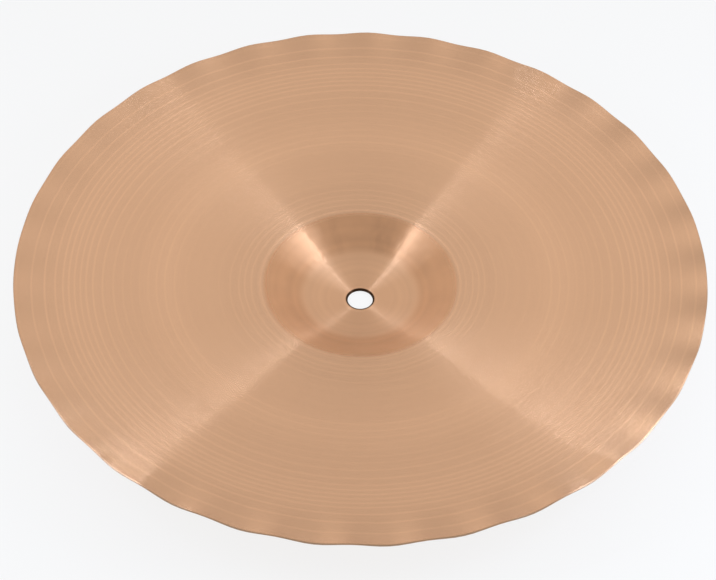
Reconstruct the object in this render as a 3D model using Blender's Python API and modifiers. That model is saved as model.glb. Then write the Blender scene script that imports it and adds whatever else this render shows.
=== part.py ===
"""Bottom hi-hat cymbal with a rippled edge, one turned and hammered disc of bronze.

Units are metres, +Z is up. The cymbal lies with its hollow side up, as it sits on a stand.
The origin is the centre of the hole on the outer face of the bell's crown, which is the
lowest face of the cymbal and the one that the seat felt carries.
"""

import math

import bpy

# Plan of the cymbal
DIAMETER = 0.3556
BELL_DIAMETER = 0.102
BELL_WALL_RUN = 0.0205
HOLE_DIAMETER = 0.0132
LAND_WIDTH = 0.0022

# Heights of the hollow side, each counted from where the run before it ends
CROWN_RISE = 0.0039
CROWN_SAG = 0.0004
BELL_WALL_RISE = 0.0095
BOW_RISE = 0.0174
BOW_SAG = 0.0021

# Thickness of the bronze
BELL_THICKNESS = 0.0016
EDGE_THICKNESS = 0.0010

# Broken and rounded corners
HOLE_CHAMFER = 0.0007
RIM_CHAMFER = 0.0003
CROWN_ROUNDING = 0.0025
BELL_ROOT_ROUNDING = 0.0025

# Ripple of the edge
WAVE_COUNT = 32
WAVE_HEIGHT = 0.00065
WAVE_BAND = 0.0240

# How finely the solid is divided
STEPS_PER_WAVE = 5
BOW_STEPS = 4
CROWN_STEPS = 2
CORNER_STEPS = 1
BAND_STEPS = 3

# The Screw modifier joins its last turn to its first within this distance
MERGE_DISTANCE = 0.00001

RIM_RADIUS = DIAMETER / 2
BELL_RADIUS = BELL_DIAMETER / 2
HOLE_RADIUS = HOLE_DIAMETER / 2
LAND_START = HOLE_RADIUS + HOLE_CHAMFER
LAND_END = LAND_START + LAND_WIDTH
CROWN_RADIUS = BELL_RADIUS - BELL_WALL_RUN


def clear_scene():
    """Remove whatever the open file holds."""
    for thing in list(bpy.data.objects):
        bpy.data.objects.remove(thing, do_unlink=True)


def bronze():
    """Lathed bronze of a warm, slightly pink gold."""
    material = bpy.data.materials.new("lathed_bronze")
    material.use_nodes = True
    shader = material.node_tree.nodes["Principled BSDF"]
    shader.inputs["Base Color"].default_value = (0.62, 0.37, 0.22, 1.0)
    shader.inputs["Metallic"].default_value = 1.0
    shader.inputs["Roughness"].default_value = 0.35
    return material


def sagging_run(start, end, sag, steps):
    """Points after start up to end, on a parabola whose middle lies sag below the chord."""
    points = []
    for step in range(1, steps + 1):
        part = step / steps
        radius = start[0] + (end[0] - start[0]) * part
        height = start[1] + (end[1] - start[1]) * part
        points.append((radius, height - 4 * sag * part * (1 - part)))
    return points


def towards(start, end, distance):
    """The point that lies a distance from start on the way to end."""
    share = distance / math.dist(start, end)
    return (start[0] + (end[0] - start[0]) * share, start[1] + (end[1] - start[1]) * share)


def rounded(points, corner_index, rounding, steps):
    """The same run of points with one corner replaced by a smooth curve."""
    corner = points[corner_index]
    first = towards(corner, points[corner_index - 1], rounding)
    last = towards(corner, points[corner_index + 1], rounding)
    curve = []
    for step in range(steps + 1):
        part = step / steps
        before = (1 - part) ** 2
        middle = 2 * part * (1 - part)
        after = part ** 2
        radius = before * first[0] + middle * corner[0] + after * last[0]
        height = before * first[1] + middle * corner[1] + after * last[1]
        curve.append((radius, height))
    return points[:corner_index] + curve + points[corner_index + 1:]


def bow_height(radius):
    """Height of the hollow side anywhere on the bow."""
    part = (radius - BELL_RADIUS) / (RIM_RADIUS - BELL_RADIUS)
    root = BELL_THICKNESS + CROWN_RISE + BELL_WALL_RISE
    return root + BOW_RISE * part - 4 * BOW_SAG * part * (1 - part)


def even_steps(start, end, steps):
    """Values after start up to end, evenly spaced."""
    return [start + (end - start) * step / steps for step in range(1, steps + 1)]


def bow_run():
    """Points of the hollow side from the bell's root to the chamfer of the rim."""
    band_start = RIM_RADIUS - WAVE_BAND
    band_end = RIM_RADIUS - RIM_CHAMFER
    radii = even_steps(BELL_RADIUS, band_start, BOW_STEPS) + even_steps(band_start, band_end, BAND_STEPS)
    return [(radius, bow_height(radius)) for radius in radii]


def hollow_side():
    """Radius and height along the hollow side, from the hole out to the rim."""
    land = [(LAND_START, BELL_THICKNESS), (LAND_END, BELL_THICKNESS)]
    crown_edge = (CROWN_RADIUS, BELL_THICKNESS + CROWN_RISE)
    crown = sagging_run(land[-1], crown_edge, CROWN_SAG, CROWN_STEPS)
    bell_root = (BELL_RADIUS, BELL_THICKNESS + CROWN_RISE + BELL_WALL_RISE)
    points = land + crown + [bell_root] + bow_run()
    root_index = points.index(bell_root)
    points = rounded(points, root_index, BELL_ROOT_ROUNDING, CORNER_STEPS)
    return rounded(points, root_index - 1, CROWN_ROUNDING, CORNER_STEPS)


def thickness_at(radius):
    """The bell has one thickness, and the bow thins evenly from there to the edge."""
    part = max(0.0, (radius - BELL_RADIUS) / (RIM_RADIUS - BELL_RADIUS))
    return BELL_THICKNESS + (EDGE_THICKNESS - BELL_THICKNESS) * part


def outer_side(hollow):
    """The outer side under each point of the hollow side, the bronze's thickness away.

    The thickness is square to the flatter of the two runs that meet at a point, so the land
    round the hole stays flat on both faces.
    """
    slopes = [abs((b[1] - a[1]) / (b[0] - a[0])) for a, b in zip(hollow, hollow[1:])]
    points = []
    for index, (radius, height) in enumerate(hollow):
        slope = min(slopes[max(index - 1, 0):index + 1])
        points.append((radius, height - thickness_at(radius) * math.sqrt(1 + slope ** 2)))
    return points


def cymbal_section():
    """Closed section: out along the hollow side, down the rim, back below, up the hole."""
    hollow = hollow_side()
    outer = outer_side(hollow)
    rim = [(RIM_RADIUS, hollow[-1][1] - RIM_CHAMFER), (RIM_RADIUS, outer[-1][1] + RIM_CHAMFER)]
    hole = [(HOLE_RADIUS, outer[0][1] + HOLE_CHAMFER), (HOLE_RADIUS, hollow[0][1] - HOLE_CHAMFER)]
    return hollow + rim + outer[::-1] + hole


def turned_mesh(name, section, steps):
    """A closed section turned once round the Z axis."""
    outline = bpy.data.meshes.new(name + "_section")
    count = len(section)
    edges = [(index, (index + 1) % count) for index in range(count)]
    outline.from_pydata([(radius, 0.0, height) for radius, height in section], edges, [])
    blank = bpy.data.objects.new(name + "_section", outline)
    bpy.context.scene.collection.objects.link(blank)

    screw = blank.modifiers.new("turn", "SCREW")
    screw.axis = "Z"
    screw.angle = math.tau
    screw.steps = steps
    screw.render_steps = steps
    screw.use_merge_vertices = True
    screw.merge_threshold = MERGE_DISTANCE

    bpy.context.view_layer.update()
    evaluated = blank.evaluated_get(bpy.context.evaluated_depsgraph_get())
    mesh = bpy.data.meshes.new_from_object(evaluated)
    mesh.name = name
    bpy.data.objects.remove(blank, do_unlink=True)
    bpy.data.meshes.remove(outline)
    return mesh


def wave_lift(radius, angle):
    """Height that the ripple adds, growing from nothing at the band's start to the rim."""
    reach = (radius - (RIM_RADIUS - WAVE_BAND)) / WAVE_BAND
    share = max(0.0, reach) ** 1.5
    return WAVE_HEIGHT * share * math.cos(WAVE_COUNT * angle)


def ripple_edge(mesh):
    """Bend the outer band of the disc up and down round the rim, with a crest on +X."""
    for vertex in mesh.vertices:
        radius = math.hypot(vertex.co.x, vertex.co.y)
        angle = math.atan2(vertex.co.y, vertex.co.x)
        vertex.co.z += wave_lift(radius, angle)


def bottom_cymbal(collection):
    """The whole cymbal: bell, bow, rippled edge and hole in one piece of bronze."""
    mesh = turned_mesh("bottom_cymbal", cymbal_section(), WAVE_COUNT * STEPS_PER_WAVE)
    ripple_edge(mesh)
    mesh.shade_smooth()
    mesh.set_sharp_from_angle(angle=math.radians(30))
    mesh.materials.append(bronze())
    cymbal = bpy.data.objects.new("bottom_cymbal", mesh)
    collection.objects.link(cymbal)
    return cymbal


def main():
    clear_scene()
    collection = bpy.data.collections.new("hi_hat_cymbal")
    bpy.context.scene.collection.children.link(collection)
    bottom_cymbal(collection)


main()
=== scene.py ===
"""Bottom hi-hat cymbal with a rippled edge: the lathed bronze disc, its finish and its studio.

Metres, +Z up. The origin is the centre of the hole on the outer face of the bell's crown, and
the cymbal lies with its hollow side up.
"""

import math

import bpy
import numpy as np
from bpy.props import FloatProperty, FloatVectorProperty, IntProperty, PointerProperty
from mathutils import Matrix, Vector


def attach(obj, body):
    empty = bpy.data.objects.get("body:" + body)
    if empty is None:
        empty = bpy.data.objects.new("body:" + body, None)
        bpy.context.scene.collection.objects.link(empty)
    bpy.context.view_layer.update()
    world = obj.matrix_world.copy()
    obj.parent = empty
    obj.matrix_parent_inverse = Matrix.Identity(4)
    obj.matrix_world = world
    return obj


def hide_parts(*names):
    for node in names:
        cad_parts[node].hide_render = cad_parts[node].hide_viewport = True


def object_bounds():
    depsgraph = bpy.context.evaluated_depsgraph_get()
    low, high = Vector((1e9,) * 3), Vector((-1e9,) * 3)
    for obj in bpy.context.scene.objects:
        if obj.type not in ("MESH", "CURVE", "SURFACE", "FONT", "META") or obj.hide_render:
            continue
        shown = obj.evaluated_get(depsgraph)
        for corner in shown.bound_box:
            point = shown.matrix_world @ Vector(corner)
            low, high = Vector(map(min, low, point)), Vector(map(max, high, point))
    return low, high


bl_info = {
    "name": "Lathed Hi-Hat Cymbal",
    "version": (1, 0, 0),
    "blender": (4, 5, 0),
    "location": "3D View > Sidebar > Cymbal",
    "description": "Turns a bottom hi-hat cymbal of lathed bronze and sets its studio",
    "category": "Object",
}

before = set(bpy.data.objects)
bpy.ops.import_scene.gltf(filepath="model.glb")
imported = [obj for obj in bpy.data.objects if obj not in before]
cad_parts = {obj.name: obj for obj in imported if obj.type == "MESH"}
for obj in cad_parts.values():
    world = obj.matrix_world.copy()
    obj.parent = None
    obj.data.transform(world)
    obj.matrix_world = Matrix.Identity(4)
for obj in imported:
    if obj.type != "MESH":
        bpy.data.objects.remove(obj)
CAD_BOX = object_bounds()

# Millimetres in a metre
MM = 1000.0

# One whole swing of a Wood texture's sine, in the UV units that a Displace modifier reads
SWING = math.pi / 10
# A sine stands at its crest a quarter of a swing on
CREST = 0.25

# Turning pitch of the hollow side: from this radius outwards, one turn of the tool moves this far
HOLLOW_PITCH = (
    (0.0551, 0.0037), (0.0588, 0.0030), (0.0648, 0.0060), (0.0708, 0.0057), (0.0993, 0.0043),
    (0.1251, 0.0052), (0.1303, 0.0057), (0.1360, 0.0040), (0.1400, 0.0029), (0.1545, 0.0048),
    (0.1593, 0.0057), (0.1650, 0.0073))

# How deep the tool cut there, as a share of the groove depth
HOLLOW_DEPTH = (
    (0.0, 0.0), (0.051, 0.0), (0.055, 0.65), (0.068, 0.55), (0.074, 0.2), (0.094, 0.15), (0.098, 0.5),
    (0.108, 0.35), (0.118, 0.25), (0.126, 0.5), (0.135, 0.75), (0.156, 0.85), (0.160, 1.1), (0.168, 1.0),
    (0.175, 0.6), (0.178, 0.0))

# The outer side was turned with one even feed from the bell to the edge
OUTER_PITCH = ((0.0, 0.0045),)
OUTER_DEPTH = (
    (0.0, 0.0), (0.014, 0.0), (0.020, 0.6), (0.046, 0.6), (0.051, 0.1), (0.056, 0.9), (0.160, 1.0),
    (0.172, 0.5), (0.178, 0.0))

# How hard the hammer dented the bell, from the hole out to its root
HAMMERED = ((0.012, 0.0), (0.028, 0.3), (0.034, 1.0), (0.046, 1.0), (0.052, 0.0))

# Radius that the curves of the finish span
CURVE_REACH = 0.18

# How light the bronze is painted from the hole out to the rim: partly its own tone, partly painted shade
# that darkens the bell wall and the rippled band
TONE_AND_PAINTED_SHADE = (
    (0.0, 0.965), (0.028, 0.987), (0.032, 0.94), (0.036, 0.91), (0.040, 0.92), (0.046, 0.93),
    (0.049, 0.95), (0.0512, 0.97), (0.055, 0.98), (0.068, 0.98), (0.074, 0.995), (0.090, 1.01),
    (0.100, 1.045), (0.108, 1.03), (0.118, 1.0), (0.150, 1.0), (0.160, 0.972), (0.178, 0.957))

# Fine rings on and round the bell, how light each is beside the bronze between them: partly rings of the
# turning, partly painted highlight and shade at the bell's two eased corners, the bright ring at 0.0522
# being a painted highlight on the bell's rounded root
RING_REACH = 0.06
RINGS_AND_PAINTED_CORNER_LIGHT = (
    (0.0, 1.0), (0.0076, 1.0), (0.0084, 1.07), (0.0095, 1.0), (0.0155, 1.0), (0.0168, 1.013),
    (0.0183, 0.98), (0.0213, 1.027), (0.0232, 0.99), (0.0248, 1.01), (0.0263, 0.975), (0.0296, 1.04),
    (0.0328, 0.965), (0.0348, 1.02), (0.0370, 0.965), (0.0420, 1.016), (0.0445, 0.99), (0.0460, 1.01),
    (0.0499, 0.955), (0.0512, 1.0), (0.0522, 1.095), (0.0532, 1.0), (0.0548, 0.98), (0.0565, 1.0),
    (RING_REACH, 1.0))

# How far the sides of the finest grooves lean, as a slope, from the hole out to the rim
LEAN = (
    (0.0, 0.17), (0.018, 0.16), (0.022, 0.145), (0.028, 0.165), (0.032, 0.33), (0.035, 0.31),
    (0.040, 0.31), (0.044, 0.32), (0.049, 0.32), (0.0505, 0.26), (0.055, 0.24), (0.068, 0.24),
    (0.074, 0.20), (0.094, 0.20), (0.100, 0.18), (0.118, 0.17), (0.126, 0.21), (0.140, 0.18),
    (0.156, 0.18), (0.162, 0.22), (0.178, 0.22))

# Radii between which the finish changes from crown to bell wall, and from bell wall to bow
CROWN_TO_WALL = (0.028, 0.034)
WALL_TO_BOW = (0.0495, 0.0515)
WALL_TO_BOW_GLOSS = (0.048, 0.054)
# The crown is this much of the way from the bow's bronze to the wall's redder one
CROWN_RED = 0.3

# How much the finish strays: lightness by hairlines, haze and blotches, roughness by haze and ridges
HAIRLINE_TONE = 0.02
HAZE_TONE = 0.012
BLOTCH_TONE = 0.04
HAZE_ROUGHNESS = 0.02
RIDGE_ROUGHNESS = -0.02

# Where wear starts and is full, inwards from the rim, and how far the hole's dark edge reaches
WORN_RIM = (0.0006, 0.0003)
# Band of the rim's outer edge that is painted a greyer brown
RIM_EDGE_BAND = (0.00020, 0.00005)
DARK_HOLE = 0.0005
WORN_TONE = 0.08
WORN_ROUGHNESS = 0.25

# Greatest distance between the section's points on the bell, the inner bow and the outer bow
HOLLOW_SPACING = (0.0011, 0.0009, 0.00055)
OUTER_SPACING = (0.0018, 0.0014, 0.0013)
OUTER_BOW_START = 0.116
# Steps of an eased corner, and of each quarter circle at the rim and the hole
EASED_STEPS = 6
ROUNDED_STEPS = 4
# Points of the turned mesh that lie closer than this become one
MERGE_DISTANCE = 0.000005

# The ripple grows towards the rim by this power
WAVE_GROWTH = 1.5
# A normal that points up or down by more than this belongs to the hollow or the outer side
FACING = 0.2
# Weights up to this are left out of a vertex group
LEAST_WEIGHT = 0.0005

# How much of the floor is its own plain colour, as the camera and reflections see it
PLAIN_SHARE = 0.9
# How softly the room's light levels off where it is dimmest
ROOM_BLEND = 0.1


class CymbalSizes(bpy.types.PropertyGroup):
    """Sizes of the disc. The defaults are the real cymbal's."""

    diameter: FloatProperty(
        name="Diameter", description="Across the rim", unit="LENGTH",
        default=CAD_BOX[1].x - CAD_BOX[0].x)
    bell_diameter: FloatProperty(
        name="Bell diameter", description="Across the bell's root", unit="LENGTH", default=0.102)
    bell_wall_run: FloatProperty(
        name="Bell wall run", description="Plan width of the bell's straight wall",
        unit="LENGTH", default=0.0205)
    hole_diameter: FloatProperty(
        name="Hole diameter", description="Bore for the stand's rod", unit="LENGTH",
        default=0.0132)
    land_width: FloatProperty(
        name="Land width", description="Flat ring round the hole", unit="LENGTH",
        default=0.0022)
    crown_rise: FloatProperty(
        name="Crown rise", description="From the land up to the crown's edge",
        unit="LENGTH", default=0.0039)
    crown_sag: FloatProperty(
        name="Crown sag", description="How far the crown's middle lies below its chord",
        unit="LENGTH", default=0.0004)
    bell_wall_rise: FloatProperty(
        name="Bell wall rise", description="From the crown's edge up to the bell's root",
        unit="LENGTH", default=0.0095)
    bow_rise: FloatProperty(
        name="Bow rise", description="From the bell's root up to the rim", unit="LENGTH",
        default=0.0174)
    bow_sag: FloatProperty(
        name="Bow sag", description="How far the bow's middle lies below its chord",
        unit="LENGTH", default=0.0021)
    bell_thickness: FloatProperty(
        name="Bell thickness", description="Bronze at the hole and bell", unit="LENGTH",
        default=0.0016)
    edge_thickness: FloatProperty(
        name="Edge thickness", description="Bronze at the rim", unit="LENGTH",
        default=0.0010)
    hole_rounding: FloatProperty(
        name="Hole rounding", description="Rounded corners of the hole", unit="LENGTH",
        default=0.0007)
    rim_rounding: FloatProperty(
        name="Rim rounding", description="Rounded corners of the rim", unit="LENGTH",
        default=0.0004)
    corner_rounding: FloatProperty(
        name="Corner rounding", description="How far the bell's two corners are eased",
        unit="LENGTH", default=0.0030)
    wave_count: IntProperty(
        name="Waves", description="Waves round the edge", default=32)
    wave_height: FloatProperty(
        name="Wave height", description="Lift of a crest at the rim", unit="LENGTH",
        default=0.00065)
    wave_band: FloatProperty(
        name="Wave band", description="Width of the rippled band", unit="LENGTH",
        default=0.024)
    groove_depth: FloatProperty(
        name="Groove depth", description="Height of a lathe ridge", unit="LENGTH",
        default=0.00002)
    dent_depth: FloatProperty(
        name="Hammer depth", description="Depth of the hammer marks in the bell",
        unit="LENGTH", default=0.00013)
    steps_round: IntProperty(
        name="Steps round", description="Steps of the turned mesh", default=256)


class BronzeFinish(bpy.types.PropertyGroup):
    """Colours and gloss of the bronze, and the light and shade painted on it."""

    bronze: FloatVectorProperty(
        name="Bronze", description="Lathed bow", subtype="COLOR", size=3,
        default=(0.651, 0.385, 0.232))
    bell_bronze: FloatVectorProperty(
        name="Bell bronze", description="Hammered wall of the bell", subtype="COLOR",
        size=3, default=(0.700, 0.380, 0.210))
    hole_brown: FloatVectorProperty(
        name="Hole brown", description="Dark edge of the hole", subtype="COLOR", size=3,
        default=(0.065, 0.032, 0.016))
    # Greyer brown painted on the rim's outer edge
    rim_edge_brown: FloatVectorProperty(
        name="Rim brown", description="Dull edge of the rim", subtype="COLOR", size=3,
        default=(0.60, 0.40, 0.27))
    roughness: FloatProperty(
        name="Roughness", description="Mean roughness of the turned face",
        subtype="FACTOR", default=0.20)
    bell_roughness: FloatProperty(
        name="Bell roughness", description="Mean roughness of the hammered bell",
        subtype="FACTOR", default=0.285)
    # Painted sheen: the ridges' colour is made lighter, standing in for the light they catch
    ridge_painted_sheen: FloatProperty(
        name="Ridge gloss", description="How much lighter the burnished ridges are",
        subtype="FACTOR", default=0.072)
    ridge_height: FloatProperty(
        name="Ridge height", description="Relief of a burnished ridge", unit="LENGTH", default=0.000022)
    # Partly dark marks, partly painted shade on one side of the bell wall
    hammer_and_shade_tone: FloatProperty(
        name="Hammer marks", description="How much darker the marks of the hammer are",
        subtype="FACTOR", default=0.10)
    # Painted light and shade of the ripple: how much lighter and darker the bronze is painted in step with
    # the waves
    wave_painted_shade: FloatProperty(
        name="Wave tone", description="How much more the tool bit on the rising side of each wave",
        subtype="FACTOR", default=0.07)


class StudioSettings(bpy.types.PropertyGroup):
    """Floor, light and camera."""

    floor: FloatVectorProperty(
        name="Floor", description="Pale floor and backdrop", subtype="COLOR", size=3,
        default=(0.93, 0.93, 0.93))
    room_least: FloatProperty(
        name="Room", description="Light of the room where it is dimmest", default=0.40)
    room_back: FloatProperty(
        name="Room behind", description="How fast the room lightens backwards", default=0.52)
    room_top: FloatProperty(
        name="Room above", description="How fast the room lightens upwards", default=0.93)
    room_sides: FloatProperty(
        name="Room sides", description="How fast the room lightens sideways", default=0.14)
    back_wall: FloatProperty(
        name="Back wall", description="Light added low down behind the cymbal", default=0.75)
    gap_dark: FloatProperty(
        name="Gap", description="How much dimmer the room is straight behind the cymbal", default=0.28)
    gap_width: FloatProperty(
        name="Gap width", description="Half the width of that gap, as a share of the distance", default=0.20)
    lamp_light: FloatProperty(
        name="Softboxes", description="Strength of both softboxes", default=1.0)
    lamp_colour: FloatVectorProperty(
        name="Softbox colour", description="Daylight of the softboxes", subtype="COLOR",
        size=3, default=(0.82, 1.0, 1.30))
    lens: FloatProperty(
        name="Lens", description="Focal length in mm", default=100.0)
    elevation: FloatProperty(
        name="Elevation", description="Camera above the horizon", subtype="ANGLE",
        default=math.radians(47.97))
    roll: FloatProperty(
        name="Roll", description="Camera turned about its view", subtype="ANGLE",
        default=math.radians(0.69))
    turn: FloatProperty(
        name="Turn", description="Camera and lamps turned round the cymbal",
        subtype="ANGLE", default=math.radians(0.90))
    distance: FloatProperty(
        name="Distance", description="Camera to the hole along the view",
        unit="LENGTH", default=1.0478)
    aim_right: FloatProperty(
        name="Aim right", description="Hole right of the picture's middle",
        unit="LENGTH", default=0.00114)
    aim_up: FloatProperty(
        name="Aim up", description="Hole above the picture's middle", unit="LENGTH",
        default=-0.00466)


# Each softbox has one hard edge, from its foot to its head, and fades across its width. Outside
# the hard edge lies a dim margin. Left-over and margin light are shares of the strength.
SOFTBOXES = {
    "left_softbox": {
        "foot": (-0.495, -0.278, 0.312), "head": (-0.282, -0.058, 0.435), "width": 0.297,
        "strength": 8.7, "fading": 3.4, "left_over": 0.12, "margin": 0.011, "margin_light": 0.54},
    "right_softbox": {
        "foot": (1.105, -0.478, 0.429), "head": (0.305, -0.076, 0.362), "width": 0.382,
        "strength": 10.6, "fading": 2.25, "left_over": 0.20, "margin": 0.119, "margin_light": 0.197},
}


def stations(start, end, spacing):
    """Points after start up to end, in even steps no longer than the spacing."""
    count = max(1, math.ceil(math.dist(start, end) / spacing))
    return [
        (start[0] + (end[0] - start[0]) * i / count, start[1] + (end[1] - start[1]) * i / count)
        for i in range(1, count + 1)
    ]


def sagged(points, start, end, sag):
    """The same points, lowered to a parabola whose middle lies sag below the chord."""
    out = []
    for radius, height in points:
        part = (radius - start[0]) / (end[0] - start[0])
        out.append((radius, height - 4 * sag * part * (1 - part)))
    return out


def eased(points, corner, reach, steps):
    """The run with everything within reach of a corner replaced by a smooth curve."""
    before = [p for p in points if p[0] < corner[0] - reach]
    after = [p for p in points if p[0] > corner[0] + reach]
    first, last = before[-1], after[0]
    curve = []
    for i in range(1, steps):
        t = i / steps
        weights = ((1 - t) ** 2, 2 * t * (1 - t), t ** 2)
        pulls = list(zip(weights, (first, corner, last)))
        curve.append(tuple(sum(w * p[k] for w, p in pulls) for k in range(2)))
    return before + curve + after


def quarter(centre, radius, start_angle):
    """Quarter circle, clockwise, from an angle; both ends are included."""
    return [
        (centre[0] + radius * math.cos(start_angle - math.pi / 2 * i / ROUNDED_STEPS),
         centre[1] + radius * math.sin(start_angle - math.pi / 2 * i / ROUNDED_STEPS))
        for i in range(ROUNDED_STEPS + 1)
    ]


def thickness_at(radius, sizes):
    """The bell has one thickness, and the bow thins evenly to the rim."""
    bell, rim = sizes.bell_diameter / 2, sizes.diameter / 2
    part = min(1.0, max(0.0, (radius - bell) / (rim - bell)))
    return sizes.bell_thickness + (sizes.edge_thickness - sizes.bell_thickness) * part


def face_run(sizes, bell_spacing, bow_spacing, outer_spacing):
    """Radius and height along the hollow side from the land to the start of the rim's rounding."""
    hole, bell, rim = sizes.hole_diameter / 2, sizes.bell_diameter / 2, sizes.diameter / 2
    land_start = (hole + sizes.hole_rounding, sizes.bell_thickness)
    land_end = (land_start[0] + sizes.land_width, sizes.bell_thickness)
    crown_edge = (bell - sizes.bell_wall_run, land_end[1] + sizes.crown_rise)
    root = (bell, crown_edge[1] + sizes.bell_wall_rise)
    rim_top = (rim, root[1] + sizes.bow_rise)
    part = (OUTER_BOW_START - bell) / (rim - bell)
    middle = (OUTER_BOW_START, root[1] + sizes.bow_rise * part)
    crown = sagged(stations(land_end, crown_edge, bell_spacing), land_end, crown_edge, sizes.crown_sag)
    wall = stations(crown_edge, root, bell_spacing)
    bow = sagged(
        stations(root, middle, bow_spacing) + stations(middle, rim_top, outer_spacing),
        root, rim_top, sizes.bow_sag)
    points = [land_start] + stations(land_start, land_end, sizes.land_width / 2) + crown + wall + bow
    points = eased(points, root, sizes.corner_rounding, EASED_STEPS)
    points = eased(points, crown_edge, sizes.corner_rounding, EASED_STEPS)
    return [p for p in points if p[0] <= rim - sizes.rim_rounding]


def bow_slope(radius, sizes):
    """How steeply the hollow side of the bow rises outwards at a radius."""
    bell, rim = sizes.bell_diameter / 2, sizes.diameter / 2
    part = (radius - bell) / (rim - bell)
    return (sizes.bow_rise - 4 * sizes.bow_sag * (1 - 2 * part)) / (rim - bell)


def lowered(points, sizes):
    """The outer side under a run of the hollow side, the bronze's thickness away."""
    slopes = [(b[1] - a[1]) / (b[0] - a[0]) for a, b in zip(points, points[1:])]
    out = []
    for i, (radius, height) in enumerate(points):
        slope = min(slopes[max(i - 1, 0):i + 1])
        out.append((radius, height - thickness_at(radius, sizes) * math.sqrt(1 + slope ** 2)))
    return out


def section(sizes):
    """Closed section: out along the hollow side, round the rim, back below, up the hole."""
    hole, rim = sizes.hole_diameter / 2, sizes.diameter / 2
    hollow = face_run(sizes, *HOLLOW_SPACING)
    outer = lowered(face_run(sizes, *OUTER_SPACING), sizes)
    soft, edge = sizes.hole_rounding, sizes.rim_rounding
    top, bottom = hollow[-1][1], outer[-1][1]
    rim_curve = quarter((rim - edge, top - edge), edge, math.pi / 2)[1:]
    rim_curve += quarter((rim - edge, bottom + edge), edge, 0.0)
    hole_curve = quarter((hole + soft, soft), soft, -math.pi / 2)[1:]
    hole_curve += quarter((hole + soft, sizes.bell_thickness - soft), soft, math.pi)[:-1]
    return hollow + rim_curve + outer[::-1][1:] + hole_curve


def start_edit(name):
    """Name a new primitive and open its mesh in edit mode."""
    piece = bpy.context.object
    piece.name = name
    piece.data.name = name
    bpy.ops.object.mode_set(mode="EDIT")
    return piece


def apply_modifiers(piece):
    """Apply every modifier of a piece in order."""
    for modifier in list(piece.modifiers):
        bpy.ops.object.modifier_apply(modifier=modifier.name)


def turn_disc(sizes):
    """Draw the section point by point from a collapsed plane, and spin it round the axis."""
    points = section(sizes)
    bpy.ops.object.select_all(action="DESELECT")
    bpy.ops.mesh.primitive_plane_add(size=0.001, location=(0, 0, 0))
    piece = start_edit("bronze_cymbal")
    bpy.ops.mesh.select_all(action="SELECT")
    bpy.ops.mesh.merge(type="CENTER")
    bpy.ops.transform.translate(value=(points[0][0], 0, points[0][1]))
    for (r0, z0), (r1, z1) in zip(points, points[1:]):
        bpy.ops.mesh.extrude_region_move(TRANSFORM_OT_translate={"value": (r1 - r0, 0, z1 - z0)})
    bpy.ops.mesh.select_all(action="SELECT")
    bpy.ops.mesh.spin(steps=sizes.steps_round, angle=math.tau, center=(0, 0, 0), axis=(0, 0, 1))
    bpy.ops.mesh.select_all(action="SELECT")
    bpy.ops.mesh.remove_doubles(threshold=MERGE_DISTANCE)
    # The two ends of the section have made two open rings, which are bridged
    bpy.ops.mesh.select_all(action="DESELECT")
    bpy.ops.mesh.select_non_manifold()
    bpy.ops.mesh.bridge_edge_loops()
    bpy.ops.mesh.select_all(action="SELECT")
    bpy.ops.mesh.normals_make_consistent(inside=False)
    bpy.ops.object.mode_set(mode="OBJECT")
    bpy.ops.object.shade_smooth()
    return piece


def read_points(piece):
    """Positions and normals of a piece's vertices as arrays."""
    count = len(piece.data.vertices)
    co = np.empty(count * 3, np.float32)
    normal = np.empty(count * 3, np.float32)
    piece.data.vertices.foreach_get("co", co)
    piece.data.vertices.foreach_get("normal", normal)
    return co.reshape(-1, 3).astype(float), normal.reshape(-1, 3).astype(float)


def pitch_at(radius, pitch_steps):
    """How far the tool moved in one turn at each radius."""
    starts = np.array([s for s, _ in pitch_steps])
    pitches = np.array([p for _, p in pitch_steps])
    return pitches[np.clip(np.searchsorted(starts, radius, side="right") - 1, 0, len(starts) - 1)]


def turns_to(radius, pitch_steps):
    """How many turns the tool took to reach each radius."""
    starts = np.array([s for s, _ in pitch_steps])
    pitches = np.array([p for _, p in pitch_steps])
    done = np.concatenate([[0.0], np.cumsum(np.diff(starts) / pitches[:-1])])
    index = np.clip(np.searchsorted(starts, radius, side="right") - 1, 0, len(starts) - 1)
    return done[index] + (radius - starts[index]) / pitches[index]


def add_turn_map(piece, name, values_of):
    """UV map from a function of each face corner's radius, turn and side, closed at the seam."""
    mesh = piece.data
    co = read_points(piece)[0]
    corner_vertex = np.empty(len(mesh.loops), np.int32)
    mesh.loops.foreach_get("vertex_index", corner_vertex)
    middle = np.empty(len(mesh.polygons) * 3, np.float32)
    mesh.polygons.foreach_get("center", middle)
    middle = middle.reshape(-1, 3)
    face_turn = np.arctan2(middle[:, 1], middle[:, 0]) % math.tau
    size = np.empty(len(mesh.polygons), np.int32)
    mesh.polygons.foreach_get("loop_total", size)
    face_turn = np.repeat(face_turn, size)
    face_up = np.repeat(np.array([p.normal.z for p in mesh.polygons]), size)
    x, y = co[corner_vertex, 0], co[corner_vertex, 1]
    turn = np.arctan2(y, x) % math.tau
    turn = np.where(turn - face_turn > math.pi, turn - math.tau, turn)
    turn = np.where(face_turn - turn > math.pi, turn + math.tau, turn)
    uv = np.stack(values_of(np.hypot(x, y), turn / math.tau, face_up), axis=1)
    layer = mesh.uv_layers.new(name=name)
    layer.uv.foreach_set("vector", uv.astype(np.float32).ravel())


def swings(count):
    """U and V that make a Wood texture swing this many times."""
    return 0.5 + count * SWING, np.full_like(count, 0.5)


def add_weights(piece, name, weights):
    """Vertex group with one weight for each vertex."""
    group = piece.vertex_groups.new(name=name)
    for index, weight in enumerate(weights):
        if weight > LEAST_WEIGHT:
            group.add([index], float(weight), "REPLACE")


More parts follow.
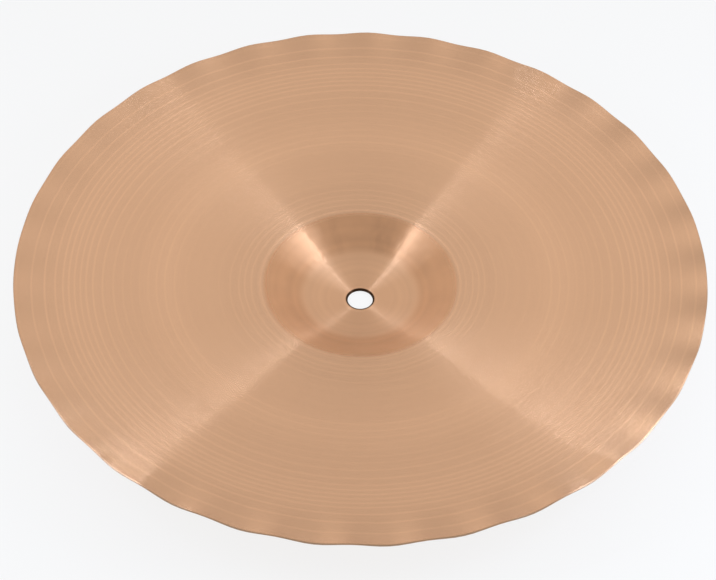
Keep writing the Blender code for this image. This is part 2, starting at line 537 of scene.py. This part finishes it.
def displace(piece, name, texture, strength, direction, group, uv=None):
    """Displace modifier that moves the surface by a texture, weighted by a vertex group."""
    modifier = piece.modifiers.new(name, "DISPLACE")
    modifier.texture = texture
    modifier.strength = strength
    modifier.mid_level = 0.5
    modifier.direction = direction
    modifier.vertex_group = group
    if uv is None:
        modifier.texture_coords = "LOCAL"
    else:
        modifier.texture_coords = "UV"
        modifier.uv_layer = uv


def swinging_texture(name):
    """Texture that swings as a sine along U."""
    texture = bpy.data.textures.new(name, "WOOD")
    texture.wood_type = "BANDS"
    texture.noise_basis_2 = "SIN"
    return texture


def ripple_and_groove(piece, sizes):
    """Bend the edge in waves, raise the lathe ridges and dent the bell, by modifiers."""
    rim = sizes.diameter / 2
    co, normal = read_points(piece)
    radius = np.hypot(co[:, 0], co[:, 1])
    hollow = normal[:, 2] > FACING
    outer = normal[:, 2] < -FACING

    band = np.clip((radius - rim + sizes.wave_band) / sizes.wave_band, 0, 1) ** WAVE_GROWTH
    add_weights(piece, "edge_band", band)
    depth = np.where(hollow, np.interp(radius, *zip(*HOLLOW_DEPTH)), 0.0)
    depth = np.where(outer, np.interp(radius, *zip(*OUTER_DEPTH)), depth)
    add_weights(piece, "turned", depth)
    add_weights(piece, "hammered", np.where(hollow | outer, np.interp(radius, *zip(*HAMMERED)), 0.0))

    def tool_turns(r, turn, up):
        return np.where(up > 0, turns_to(r, HOLLOW_PITCH) - turn, turns_to(r, OUTER_PITCH) + turn)

    def tool_pitch(r, up):
        return np.where(up > 0, pitch_at(r, HOLLOW_PITCH), pitch_at(r, OUTER_PITCH))

    waves = sizes.wave_count
    add_turn_map(piece, "waves", lambda r, turn, up: swings(waves * turn + CREST))
    add_turn_map(piece, "grooves", lambda r, turn, up: swings(tool_turns(r, turn, up) + CREST))
    add_turn_map(piece, "turning", lambda r, turn, up: (tool_turns(r, turn, up), MM * tool_pitch(r, up)))

    dents = bpy.data.textures.new("hammer_dents", "CLOUDS")
    dents.noise_scale = 0.005
    dents.noise_depth = 1
    displace(piece, "dents", dents, sizes.dent_depth, "NORMAL", "hammered")
    ridges = swinging_texture("lathe_ridges")
    displace(piece, "ridges", ridges, sizes.groove_depth, "NORMAL", "turned", "grooves")
    swing = swinging_texture("edge_swing")
    displace(piece, "waves", swing, 2 * sizes.wave_height, "CUSTOM_NORMAL", "edge_band", "waves")
    # The waves move the bronze along these normals, square to the bow, which are cleared afterwards
    lean = bow_slope(radius, sizes) / radius
    square_to_bow = np.stack([-co[:, 0] * lean, -co[:, 1] * lean, np.ones_like(lean)], axis=1)
    square_to_bow /= np.linalg.norm(square_to_bow, axis=1, keepdims=True)
    piece.data.normals_split_custom_set_from_vertices(square_to_bow.tolist())
    apply_modifiers(piece)
    bpy.ops.mesh.customdata_custom_splitnormals_clear()
    piece.vertex_groups.clear()
    for name in ("waves", "grooves"):
        piece.data.uv_layers.remove(piece.data.uv_layers[name])


class Nodes:
    """Shorthand for laying nodes into a tree."""

    def __init__(self, tree):
        self.tree = tree

    def add(self, kind, inputs=None, **settings):
        """A node with its settings, and its inputs linked or set by name or number."""
        node = self.tree.nodes.new(kind)
        for key, value in settings.items():
            setattr(node, key, value)
        for key, value in (inputs or {}).items():
            self.feed(node.inputs[key], value)
        return node

    def feed(self, socket, value):
        """Link an output to a socket, or set the socket's own value."""
        if isinstance(value, bpy.types.NodeSocket):
            self.tree.links.new(value, socket)
        else:
            socket.default_value = value

    def math(self, operation, a, b=None, c=None, clamp=False):
        """A Math node's output."""
        inputs = {i: v for i, v in enumerate((a, b, c)) if v is not None}
        return self.add("ShaderNodeMath", inputs, operation=operation, use_clamp=clamp).outputs[0]

    def ramp(self, value, low, high, to_low=0.0, to_high=1.0):
        """A smooth step between two values."""
        node = self.add("ShaderNodeMapRange", {
            "Value": value, "From Min": low, "From Max": high, "To Min": to_low, "To Max": to_high},
            interpolation_type="SMOOTHSTEP")
        return node.outputs["Result"]

    def vector(self, operation, a, b=None, scale=None):
        """A Vector Math node's vector output."""
        inputs = {k: v for k, v in ((0, a), (1, b), ("Scale", scale)) if v is not None}
        return self.add("ShaderNodeVectorMath", inputs, operation=operation).outputs["Vector"]

    def split(self, vector):
        """The three parts of a vector."""
        return self.add("ShaderNodeSeparateXYZ", {0: vector}).outputs

    def about(self, share, amount):
        """A share of 0 to 1 as a change of half the amount down or up."""
        return self.math("MULTIPLY", self.math("SUBTRACT", share, 0.5), amount)

    def mix(self, factor, a, b, blend="MIX"):
        """A colour mix."""
        node = self.add("ShaderNodeMix", None, data_type="RGBA", blend_type=blend)
        self.feed(node.inputs[0], factor)
        self.feed(node.inputs[6], a)
        self.feed(node.inputs[7], b)
        return node.outputs[2]


def new_group(name, inputs, outputs):
    """Shader node group with named sockets; returns its nodes, its input and its output node."""
    tree = bpy.data.node_groups.new(name, "ShaderNodeTree")
    for label, kind, default in inputs:
        socket = tree.interface.new_socket(name=label, in_out="INPUT", socket_type=kind)
        if default is not None:
            socket.default_value = default
    for label, kind in outputs:
        tree.interface.new_socket(name=label, in_out="OUTPUT", socket_type=kind)
    nodes = Nodes(tree)
    return nodes, nodes.add("NodeGroupInput").outputs, nodes.add("NodeGroupOutput").inputs


def use_group(nodes, name, inputs):
    """A group laid into a material with its own values."""
    node = nodes.add("ShaderNodeGroup", None, node_tree=bpy.data.node_groups[name])
    for key, value in inputs.items():
        nodes.feed(node.inputs[key], value)
    return node.outputs


def polar_group():
    """Radius from the axis, and the direction round it as a unit vector."""
    nodes, given, out = new_group(
        "polar", [("Position", "NodeSocketVector", None)],
        [("Radius", "NodeSocketFloat"), ("Direction", "NodeSocketVector")])
    x, y = nodes.split(given["Position"])[:2]
    flat = nodes.add("ShaderNodeCombineXYZ", {0: x, 1: y}).outputs[0]
    radius = nodes.add("ShaderNodeVectorMath", {0: flat}, operation="LENGTH").outputs["Value"]
    nodes.feed(out["Radius"], radius)
    nodes.feed(out["Direction"], nodes.vector("NORMALIZE", flat))


def ridge_group():
    """Thin ridge that the tool leaves once a turn, as a mask for its relief, its gloss and its painted
    sheen.
    """
    nodes, given, out = new_group(
        "lathe_ridge_lines",
        [("Turns", "NodeSocketFloat", 0.0), ("Pitch", "NodeSocketFloat", 5.0),
         ("Ridge width", "NodeSocketFloat", 0.85)],
        [("Ridge", "NodeSocketFloat")])
    # Millimetres outwards from the ridge, which lies where the turns come to a whole number
    part = nodes.math("FRACT", nodes.math("ADD", given["Turns"], 0.5))
    away = nodes.math("MULTIPLY", nodes.math("SUBTRACT", part, 0.5), given["Pitch"])
    nodes.feed(out["Ridge"], nodes.ramp(nodes.math("ABSOLUTE", away), 0.0, given["Ridge width"], 1.0, 0.0))


def hairline_group():
    """Fine grooves round the axis, random from one to the next and wavering slowly along each."""
    nodes, given, out = new_group(
        "lathe_hairlines",
        [("Radius", "NodeSocketFloat", 0.0), ("Direction", "NodeSocketVector", None),
         ("Lines per metre", "NodeSocketFloat", 1500.0), ("Waver", "NodeSocketFloat", 1.5),
         ("Detail", "NodeSocketFloat", 2.0)],
        [("Amount", "NodeSocketFloat")])
    x, y = nodes.split(nodes.vector("SCALE", given["Direction"], scale=given["Waver"]))[:2]
    across = nodes.math("MULTIPLY", given["Radius"], given["Lines per metre"])
    place = nodes.add("ShaderNodeCombineXYZ", {0: x, 1: y, 2: across}).outputs[0]
    noise = nodes.add(
        "ShaderNodeTexNoise", {"Vector": place, "Scale": 1.0, "Detail": given["Detail"]},
        noise_dimensions="3D")
    nodes.feed(out["Amount"], noise.outputs["Fac"])


def slope_group():
    """Normal tipped outwards or inwards by grooves round the axis that are too fine to see singly."""
    nodes, given, out = new_group(
        "fine_groove_slopes",
        [("Radius", "NodeSocketFloat", 0.0), ("Direction", "NodeSocketVector", None),
         ("Lean", "NodeSocketFloat", 0.1), ("Steepest", "NodeSocketFloat", 1.2)],
        [("Normal", "NodeSocketVector")])
    # Most sides lean little and a few lean far: (2u - 1) / (2 sqrt(u (1 - u))) for an even chance u
    # that is drawn anew at every radius. The 0.01 keeps it finite
    place = nodes.math("MULTIPLY", given["Radius"], MM)
    chance = nodes.add("ShaderNodeTexWhiteNoise", {"W": place}, noise_dimensions="1D").outputs["Value"]
    apart = nodes.math("MULTIPLY_ADD", chance, 2.0, -1.0)
    spread = nodes.math("SQRT", nodes.math("MULTIPLY", chance, nodes.math("SUBTRACT", 1.0, chance)))
    slope = nodes.math("DIVIDE", apart, nodes.math("MULTIPLY_ADD", spread, 2.0, 0.01))
    slope = nodes.math("MULTIPLY", slope, given["Lean"])
    slope = nodes.math("MINIMUM", slope, given["Steepest"])
    slope = nodes.math("MAXIMUM", slope, nodes.math("MULTIPLY", given["Steepest"], -1.0))
    outward = nodes.add(
        "ShaderNodeVectorTransform", {0: given["Direction"]}, vector_type="VECTOR", convert_from="OBJECT",
        convert_to="WORLD").outputs[0]
    face = nodes.add("ShaderNodeNewGeometry").outputs["Normal"]
    tipped = nodes.vector("ADD", face, nodes.vector("SCALE", outward, scale=slope))
    nodes.feed(out["Normal"], nodes.vector("NORMALIZE", tipped))


def blotch_group():
    """Soft uneven patches, from hammering and handling."""
    nodes, given, out = new_group(
        "soft_blotches",
        [("Position", "NodeSocketVector", None), ("Patches per metre", "NodeSocketFloat", 60.0)],
        [("Amount", "NodeSocketFloat")])
    noise = nodes.add("ShaderNodeTexNoise", {
        "Vector": given["Position"], "Scale": given["Patches per metre"], "Detail": 1.5, "Roughness": 0.5},
        noise_dimensions="3D")
    nodes.feed(out["Amount"], nodes.ramp(noise.outputs["Fac"], 0.3, 0.7))


def hammer_and_shade_group():
    """Soft dark marks down the wall of the bell, gathered round two directions: partly dark marks, partly
    painted shade that darkens that side of the wall.
    """
    nodes, given, out = new_group(
        "hammer_marks_and_shade",
        [("Radius", "NodeSocketFloat", 0.0), ("Direction", "NodeSocketVector", None),
         ("Marks round", "NodeSocketFloat", 9.0), ("Steps per metre", "NodeSocketFloat", 160.0),
         ("First", "NodeSocketFloat", math.radians(73)), ("Second", "NodeSocketFloat", math.radians(110))],
        [("Amount", "NodeSocketFloat")])
    x, y = nodes.split(nodes.vector("SCALE", given["Direction"], scale=given["Marks round"]))[:2]
    across = nodes.math("MULTIPLY", given["Radius"], given["Steps per metre"])
    place = nodes.add("ShaderNodeCombineXYZ", {0: x, 1: y, 2: across}).outputs[0]
    noise = nodes.add(
        "ShaderNodeTexNoise", {"Vector": place, "Scale": 1.0, "Detail": 1.0}, noise_dimensions="3D")
    marks = nodes.ramp(noise.outputs["Fac"], 0.30, 0.62, 0.25, 1.0)
    turn = nodes.math("ARCTAN2", y, x)
    from_first = nodes.math("ABSOLUTE", nodes.math("SUBTRACT", turn, given["First"]))
    from_second = nodes.math("ABSOLUTE", nodes.math("SUBTRACT", turn, given["Second"]))
    # By radians from each direction: the marks are full up to the first and gone from the second
    near_first = nodes.ramp(from_first, 0.07, 0.24, 1.0, 0.0)
    near_second = nodes.ramp(from_second, 0.02, 0.09, 0.45, 0.0)
    gathered = nodes.math("MAXIMUM", near_first, near_second)
    nodes.feed(out["Amount"], nodes.math("MULTIPLY", marks, gathered))


def wave_shade_group():
    """Painted light and shade of the ripple: a swing round the rim in step with the waves, growing outwards,
    a little before each crest.
    """
    nodes, given, out = new_group(
        "painted_wave_shade",
        [("Direction", "NodeSocketVector", None), ("Radius", "NodeSocketFloat", 0.0),
         ("Waves", "NodeSocketFloat", 32.0), ("Ahead", "NodeSocketFloat", 1.9),
         ("Start", "NodeSocketFloat", 0.154), ("End", "NodeSocketFloat", 0.178)],
        [("Swing", "NodeSocketFloat")])
    x, y = nodes.split(given["Direction"])[:2]
    turn = nodes.math("ARCTAN2", y, x)
    swing = nodes.math("COSINE", nodes.math("MULTIPLY_ADD", turn, given["Waves"], given["Ahead"]))
    reach = nodes.add("ShaderNodeMapRange", {
        "Value": given["Radius"], "From Min": given["Start"], "From Max": given["End"]}).outputs["Result"]
    nodes.feed(out["Swing"], nodes.math("MULTIPLY", swing, reach))


def by_radius(nodes, radius, points, reach=CURVE_REACH):
    """A value read off a curve by the radius, which the curve spans up to its reach."""
    # The curve ends at 1, so it holds half of each value
    node = nodes.add("ShaderNodeFloatCurve", {"Value": nodes.math("DIVIDE", radius, reach, clamp=True)})
    set_curve(node.mapping.curves[0], [(r / reach, value / 2) for r, value in points])
    node.mapping.update()
    return nodes.math("MULTIPLY", node.outputs[0], 2.0)


def bronze_material(finish, sizes):
    """Lathed bronze: the tone, ridges, hairlines and hammer marks of the disc, with painted light and shade:
    a darker bell wall and rippled band, rings lit and shaded at the bell's corners, a sheen on the ridges,
    and light and shade in step with the ripple.
    """
    material = bpy.data.materials.new("lathed_bronze")
    material.use_nodes = True
    material.node_tree.nodes.clear()
    nodes = Nodes(material.node_tree)
    position = nodes.add("ShaderNodeTexCoord").outputs["Object"]
    polar = use_group(nodes, "polar", {"Position": position})
    radius, direction = polar["Radius"], polar["Direction"]

    turns, pitch = nodes.split(nodes.add("ShaderNodeUVMap", None, uv_map="turning").outputs["UV"])[:2]
    ridges = use_group(nodes, "lathe_ridge_lines", {"Turns": turns, "Pitch": pitch})
    cut = by_radius(nodes, radius, HOLLOW_DEPTH)
    ridge = nodes.math("MULTIPLY", ridges["Ridge"], cut)

    fine = use_group(nodes, "lathe_hairlines", {
        "Radius": radius, "Direction": direction, "Lines per metre": 1500.0, "Waver": 1.5})["Amount"]
    broad = use_group(nodes, "lathe_hairlines", {
        "Radius": radius, "Direction": direction, "Lines per metre": 280.0, "Waver": 0.8,
        "Detail": 1.0})["Amount"]
    blotch = use_group(nodes, "soft_blotches", {"Position": position, "Patches per metre": 90.0})["Amount"]
    haze = use_group(nodes, "soft_blotches", {"Position": position, "Patches per metre": 14.0})["Amount"]

    inside = nodes.ramp(radius, *WALL_TO_BOW, 1.0, 0.0)
    wall = nodes.math("MULTIPLY", nodes.ramp(radius, *CROWN_TO_WALL), inside)
    redder = nodes.math("MULTIPLY", nodes.ramp(radius, *CROWN_TO_WALL, CROWN_RED, 1.0), inside)
    colour = nodes.mix(redder, (*finish.bronze, 1), (*finish.bell_bronze, 1))
    # Lightness by radius, with painted shade on the bell wall and in the rippled band
    tone = by_radius(nodes, radius, TONE_AND_PAINTED_SHADE)
    # Fine rings, with painted highlight and shade at the bell's corners
    tone = nodes.math("MULTIPLY", tone, by_radius(nodes, radius, RINGS_AND_PAINTED_CORNER_LIGHT, RING_REACH))
    tone = nodes.math("ADD", tone, nodes.about(broad, HAIRLINE_TONE))
    tone = nodes.math("ADD", tone, nodes.about(fine, HAIRLINE_TONE))
    # Painted sheen along each lathe ridge
    tone = nodes.math("ADD", tone, nodes.math("MULTIPLY", ridge, finish.ridge_painted_sheen))
    tone = nodes.math("ADD", tone, nodes.about(haze, HAZE_TONE))
    # Dark marks on the bell wall, partly painted shade on one side of it
    marks = use_group(nodes, "hammer_marks_and_shade", {"Radius": radius, "Direction": direction})["Amount"]
    marked = nodes.math("MULTIPLY", marks, finish.hammer_and_shade_tone)
    dull = nodes.math("SUBTRACT", nodes.about(blotch, BLOTCH_TONE), marked)
    tone = nodes.math("MULTIPLY_ADD", wall, dull, tone)
    rim = sizes.diameter / 2
    # Painted light and shade of the ripple, lighter and darker round the rim in step with the waves
    swing = use_group(nodes, "painted_wave_shade", {
        "Direction": direction, "Radius": radius, "Waves": float(sizes.wave_count),
        "Start": rim - sizes.wave_band, "End": rim})["Swing"]
    tone = nodes.math("MULTIPLY_ADD", swing, finish.wave_painted_shade, tone)
    worn_rim = nodes.ramp(radius, rim - WORN_RIM[0], rim - WORN_RIM[1])
    tone = nodes.math("MULTIPLY_ADD", worn_rim, WORN_TONE, tone)
    grey = nodes.add("ShaderNodeCombineColor", {0: tone, 1: tone, 2: tone}).outputs[0]
    colour = nodes.mix(1.0, colour, grey, "MULTIPLY")
    hole_edge = sizes.hole_diameter / 2 + sizes.hole_rounding
    dark = nodes.ramp(radius, hole_edge, hole_edge + DARK_HOLE, 1.0, 0.0)
    colour = nodes.mix(dark, colour, (*finish.hole_brown, 1))
    # The rim's outer edge is painted a greyer brown
    rim_edge = nodes.ramp(radius, rim - RIM_EDGE_BAND[0], rim - RIM_EDGE_BAND[1])
    colour = nodes.mix(rim_edge, colour, (*finish.rim_edge_brown, 1))

    rough = nodes.ramp(radius, *WALL_TO_BOW_GLOSS, finish.bell_roughness, finish.roughness)
    rough = nodes.math("MULTIPLY_ADD", ridge, RIDGE_ROUGHNESS, rough)
    rough = nodes.math("ADD", rough, nodes.about(haze, HAZE_ROUGHNESS))
    worn = nodes.math("MAXIMUM", dark, worn_rim)
    rough = nodes.math("ADD", rough, nodes.math("MULTIPLY", worn, WORN_ROUGHNESS))

    face = use_group(nodes, "fine_groove_slopes", {
        "Radius": radius, "Direction": direction, "Lean": by_radius(nodes, radius, LEAN)})["Normal"]
    bump = nodes.add("ShaderNodeBump", {
        "Height": ridge, "Strength": 1.0, "Distance": finish.ridge_height, "Normal": face})
    tangent = nodes.add("ShaderNodeTangent", None, direction_type="RADIAL", axis="Z")

    # The grooves run round the axis and stretch the gloss along the radius, a quarter turn away
    shader = nodes.add("ShaderNodeBsdfPrincipled", {
        "Base Color": colour, "Metallic": 1.0, "Roughness": rough, "Normal": bump.outputs["Normal"],
        "Anisotropic": 1.0, "Anisotropic Rotation": 0.25, "Tangent": tangent.outputs["Tangent"]})
    nodes.add("ShaderNodeOutputMaterial", {"Surface": shader.outputs[0]})
    return material


def set_curve(curve, points):
    """Give a curve widget these points, straight between them."""
    for x, y in points[1:-1]:
        curve.points.new(x, y)
    curve.points[0].location = points[0]
    curve.points[-1].location = points[-1]
    for point in curve.points:
        point.handle_type = "VECTOR"


def floor_material(studio):
    """Pale floor that takes a soft shadow and shows mostly its plain colour to the camera."""
    material = bpy.data.materials.new("pale_floor")
    material.use_nodes = True
    material.node_tree.nodes.clear()
    nodes = Nodes(material.node_tree)
    colour = (*studio.floor, 1)
    diffuse = nodes.add("ShaderNodeBsdfPrincipled", {"Base Color": colour, "Roughness": 0.9})
    glow = nodes.add("ShaderNodeEmission", {"Color": colour, "Strength": 1.0})
    rays = nodes.add("ShaderNodeLightPath").outputs
    seen = nodes.math("MAXIMUM", rays["Is Camera Ray"], rays["Is Glossy Ray"])
    seen = nodes.math("MAXIMUM", seen, rays["Is Transmission Ray"])
    share = nodes.math("MULTIPLY", seen, PLAIN_SHARE)
    both = nodes.add("ShaderNodeMixShader", {0: share, 1: diffuse.outputs[0], 2: glow.outputs[0]})
    nodes.add("ShaderNodeOutputMaterial", {"Surface": both.outputs[0]})
    return material


def room_light(studio):
    """A pale room, lightest above and behind and dimmer towards the camera, with a lit back wall."""
    world = bpy.data.worlds.new("studio_room")
    bpy.context.scene.world = world
    world.use_nodes = True
    world.node_tree.nodes.clear()
    nodes = Nodes(world.node_tree)
    way = nodes.add("ShaderNodeTexCoord").outputs["Generated"]
    across, back, up = nodes.split(way)
    aside = nodes.math("ABSOLUTE", across)
    level = nodes.math("MULTIPLY", aside, studio.room_sides)
    level = nodes.math("MULTIPLY_ADD", back, studio.room_back, level)
    level = nodes.math("MULTIPLY_ADD", up, studio.room_top, level)
    # The back wall's light fades from the floor up to a height of 0.5
    low = nodes.math("MULTIPLY_ADD", up, -2.0, 1.0, clamp=True)
    wall = nodes.math("MULTIPLY", nodes.math("MAXIMUM", back, 0.0), low)
    level = nodes.math("MULTIPLY_ADD", wall, studio.back_wall, level)
    # The gap fades in from a height of 0.27 to 0.6 and out again from 0.51 to 0.96
    gap = nodes.math("SUBTRACT", 1.0, nodes.math("DIVIDE", aside, studio.gap_width), clamp=True)
    gap = nodes.math("MULTIPLY", gap, nodes.math("MULTIPLY_ADD", up, -2.25, 2.15, clamp=True))
    gap = nodes.math("MULTIPLY", gap, nodes.math("MULTIPLY_ADD", up, 3.0, -0.8, clamp=True))
    level = nodes.math("MULTIPLY_ADD", gap, -studio.gap_dark, level)
    level = nodes.math("SMOOTH_MAX", level, studio.room_least, ROOM_BLEND)
    room = nodes.add("ShaderNodeBackground", {"Color": (1, 1, 1, 1), "Strength": level})
    plain = nodes.add("ShaderNodeBackground", {"Color": (*studio.floor, 1), "Strength": 1.0})
    seen = nodes.add("ShaderNodeLightPath").outputs["Is Camera Ray"]
    both = nodes.add("ShaderNodeMixShader", {0: seen, 1: room.outputs[0], 2: plain.outputs[0]})
    nodes.add("ShaderNodeOutputWorld", {"Surface": both.outputs[0]})


def make_softbox(name, box, studio, hole_height):
    """Lamp that leans over the cymbal, bright along its hard edge, with its margin."""
    foot, head = Vector(box["foot"]), Vector(box["head"])
    along = (head - foot).normalized()
    middle = (head + foot) / 2
    shine = -middle + middle.dot(along) * along
    back = -shine.normalized()
    across = along.cross(back)
    away = 1.0 if across.y > 0 else -1.0
    length = (head - foot).length
    whole = box["width"] + box["margin"]

    lamp = bpy.data.lights.new(name, "AREA")
    lamp.shape = "RECTANGLE"
    lamp.size, lamp.size_y = whole, length
    lamp.color = studio.lamp_colour
    # In step with the lamp's area, so that its brightness stays when its size is changed
    lamp.energy = box["strength"] * studio.lamp_light * math.pi * whole * length
    lamp.use_nodes = True
    lamp.node_tree.nodes.clear()
    nodes = Nodes(lamp.node_tree)
    # The share is 0 at the faded edge, 1 at the hard edge and more in the margin
    share = nodes.split(nodes.add("ShaderNodeNewGeometry").outputs["Parametric"])[0]
    if away > 0:
        share = nodes.math("SUBTRACT", 1.0, share)
    share = nodes.math("MULTIPLY", share, whole / box["width"])
    faded = nodes.math("POWER", nodes.math("MINIMUM", share, 1.0), box["fading"])
    level = nodes.math("MULTIPLY_ADD", faded, 1.0 - box["left_over"], box["left_over"])
    outside = nodes.math("GREATER_THAN", share, 1.0)
    darker = nodes.math("SUBTRACT", box["margin_light"], 1.0)
    level = nodes.math("MULTIPLY_ADD", outside, darker, level)
    glow = nodes.add("ShaderNodeEmission", {"Color": (1, 1, 1, 1), "Strength": level})
    nodes.add("ShaderNodeOutputLight", {"Surface": glow.outputs[0]})

    softbox = bpy.data.objects.new(name, lamp)
    bpy.context.scene.collection.objects.link(softbox)
    place = middle + across * away * (box["width"] - box["margin"]) / 2
    axes = Matrix((across, along, back)).transposed().to_4x4()
    lift = Matrix.Translation((0, 0, hole_height))
    softbox.matrix_world = lift @ Matrix.Rotation(studio.turn, 4, "Z") @ Matrix.Translation(place) @ axes


def make_floor(studio):
    """Wide round floor at the height where the cymbal's crown rests."""
    bpy.ops.object.select_all(action="DESELECT")
    bpy.ops.mesh.primitive_circle_add(vertices=96, radius=5.0, fill_type="NGON", location=(0, 0, 0))
    floor = start_edit("studio_floor")
    bpy.ops.mesh.select_all(action="SELECT")
    bpy.ops.mesh.inset(thickness=0.4, depth=0.0)
    bpy.ops.object.mode_set(mode="OBJECT")
    bpy.ops.object.shade_flat()
    floor.data.materials.append(floor_material(studio))


def make_camera(studio, hole_height):
    """Camera at the photograph's view: above the front, hardly rolled, with a long lens."""
    roll = studio.roll
    s, c = math.sin(studio.elevation), math.cos(studio.elevation)
    forward = Vector((0, c, -s))
    right = Vector((math.cos(roll), s * math.sin(roll), c * math.sin(roll)))
    up = Vector((-math.sin(roll), s * math.cos(roll), c * math.cos(roll)))
    place = -studio.distance * forward - studio.aim_right * right - studio.aim_up * up
    turn = Matrix.Rotation(studio.turn, 3, "Z")
    axes = turn @ Matrix((right, up, -forward)).transposed()
    camera_data = bpy.data.cameras.new("product_camera")
    camera_data.lens = studio.lens
    camera_data.sensor_width = 36.0
    camera = bpy.data.objects.new("product_camera", camera_data)
    bpy.context.scene.collection.objects.link(camera)
    camera.matrix_world = Matrix.Translation(turn @ place + Vector((0, 0, hole_height))) @ axes.to_4x4()
    bpy.context.scene.camera = camera


FINISH_GROUPS = (
    polar_group, ridge_group, hairline_group, slope_group, blotch_group, hammer_and_shade_group, wave_shade_group)


class CYMBAL_OT_turn(bpy.types.Operator):
    """Turn the disc, ripple its edge, groove it, and give it its bronze"""

    bl_idname = "cymbal.turn"
    bl_label = "Turn Cymbal"

    def execute(self, context):
        sizes, finish = context.scene.cymbal_sizes, context.scene.bronze_finish
        piece = turn_disc(sizes)
        ripple_and_groove(piece, sizes)
        for make_group in FINISH_GROUPS:
            make_group()
        piece.data.materials.append(bronze_material(finish, sizes))
        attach(piece, "root")
        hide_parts("bottom_cymbal")
        return {"FINISHED"}


class CYMBAL_OT_stage(bpy.types.Operator):
    """Set the floor, the light and the camera"""

    bl_idname = "cymbal.stage"
    bl_label = "Set Stage"

    def execute(self, context):
        studio = context.scene.studio_settings
        hole_height = context.scene.cymbal_sizes.bell_thickness
        make_floor(studio)
        room_light(studio)
        for name, box in SOFTBOXES.items():
            make_softbox(name, box, studio, hole_height)
        make_camera(studio, hole_height)
        context.scene.view_settings.view_transform = "Standard"
        return {"FINISHED"}


class CYMBAL_PT_panel(bpy.types.Panel):
    """Sizes, finish and studio of the cymbal, and the buttons that make them"""

    bl_idname = "CYMBAL_PT_panel"
    bl_label = "Lathed Hi-Hat Cymbal"
    bl_space_type = "VIEW_3D"
    bl_region_type = "UI"
    bl_category = "Cymbal"

    def draw(self, context):
        for name in ("cymbal_sizes", "bronze_finish", "studio_settings"):
            group = getattr(context.scene, name)
            box = self.layout.box()
            for prop in group.bl_rna.properties:
                if prop.identifier not in ("rna_type", "name"):
                    box.prop(group, prop.identifier)
        self.layout.operator(CYMBAL_OT_turn.bl_idname)
        self.layout.operator(CYMBAL_OT_stage.bl_idname)


CLASSES = (CymbalSizes, BronzeFinish, StudioSettings, CYMBAL_OT_turn, CYMBAL_OT_stage, CYMBAL_PT_panel)


def register():
    for cls in CLASSES:
        bpy.utils.register_class(cls)
    bpy.types.Scene.cymbal_sizes = PointerProperty(type=CymbalSizes)
    bpy.types.Scene.bronze_finish = PointerProperty(type=BronzeFinish)
    bpy.types.Scene.studio_settings = PointerProperty(type=StudioSettings)


def unregister():
    del bpy.types.Scene.studio_settings
    del bpy.types.Scene.bronze_finish
    del bpy.types.Scene.cymbal_sizes
    for cls in reversed(CLASSES):
        bpy.utils.unregister_class(cls)


def main():
    register()
    bpy.ops.cymbal.stage()
    bpy.ops.cymbal.turn()


if __name__ == "__main__":
    main()
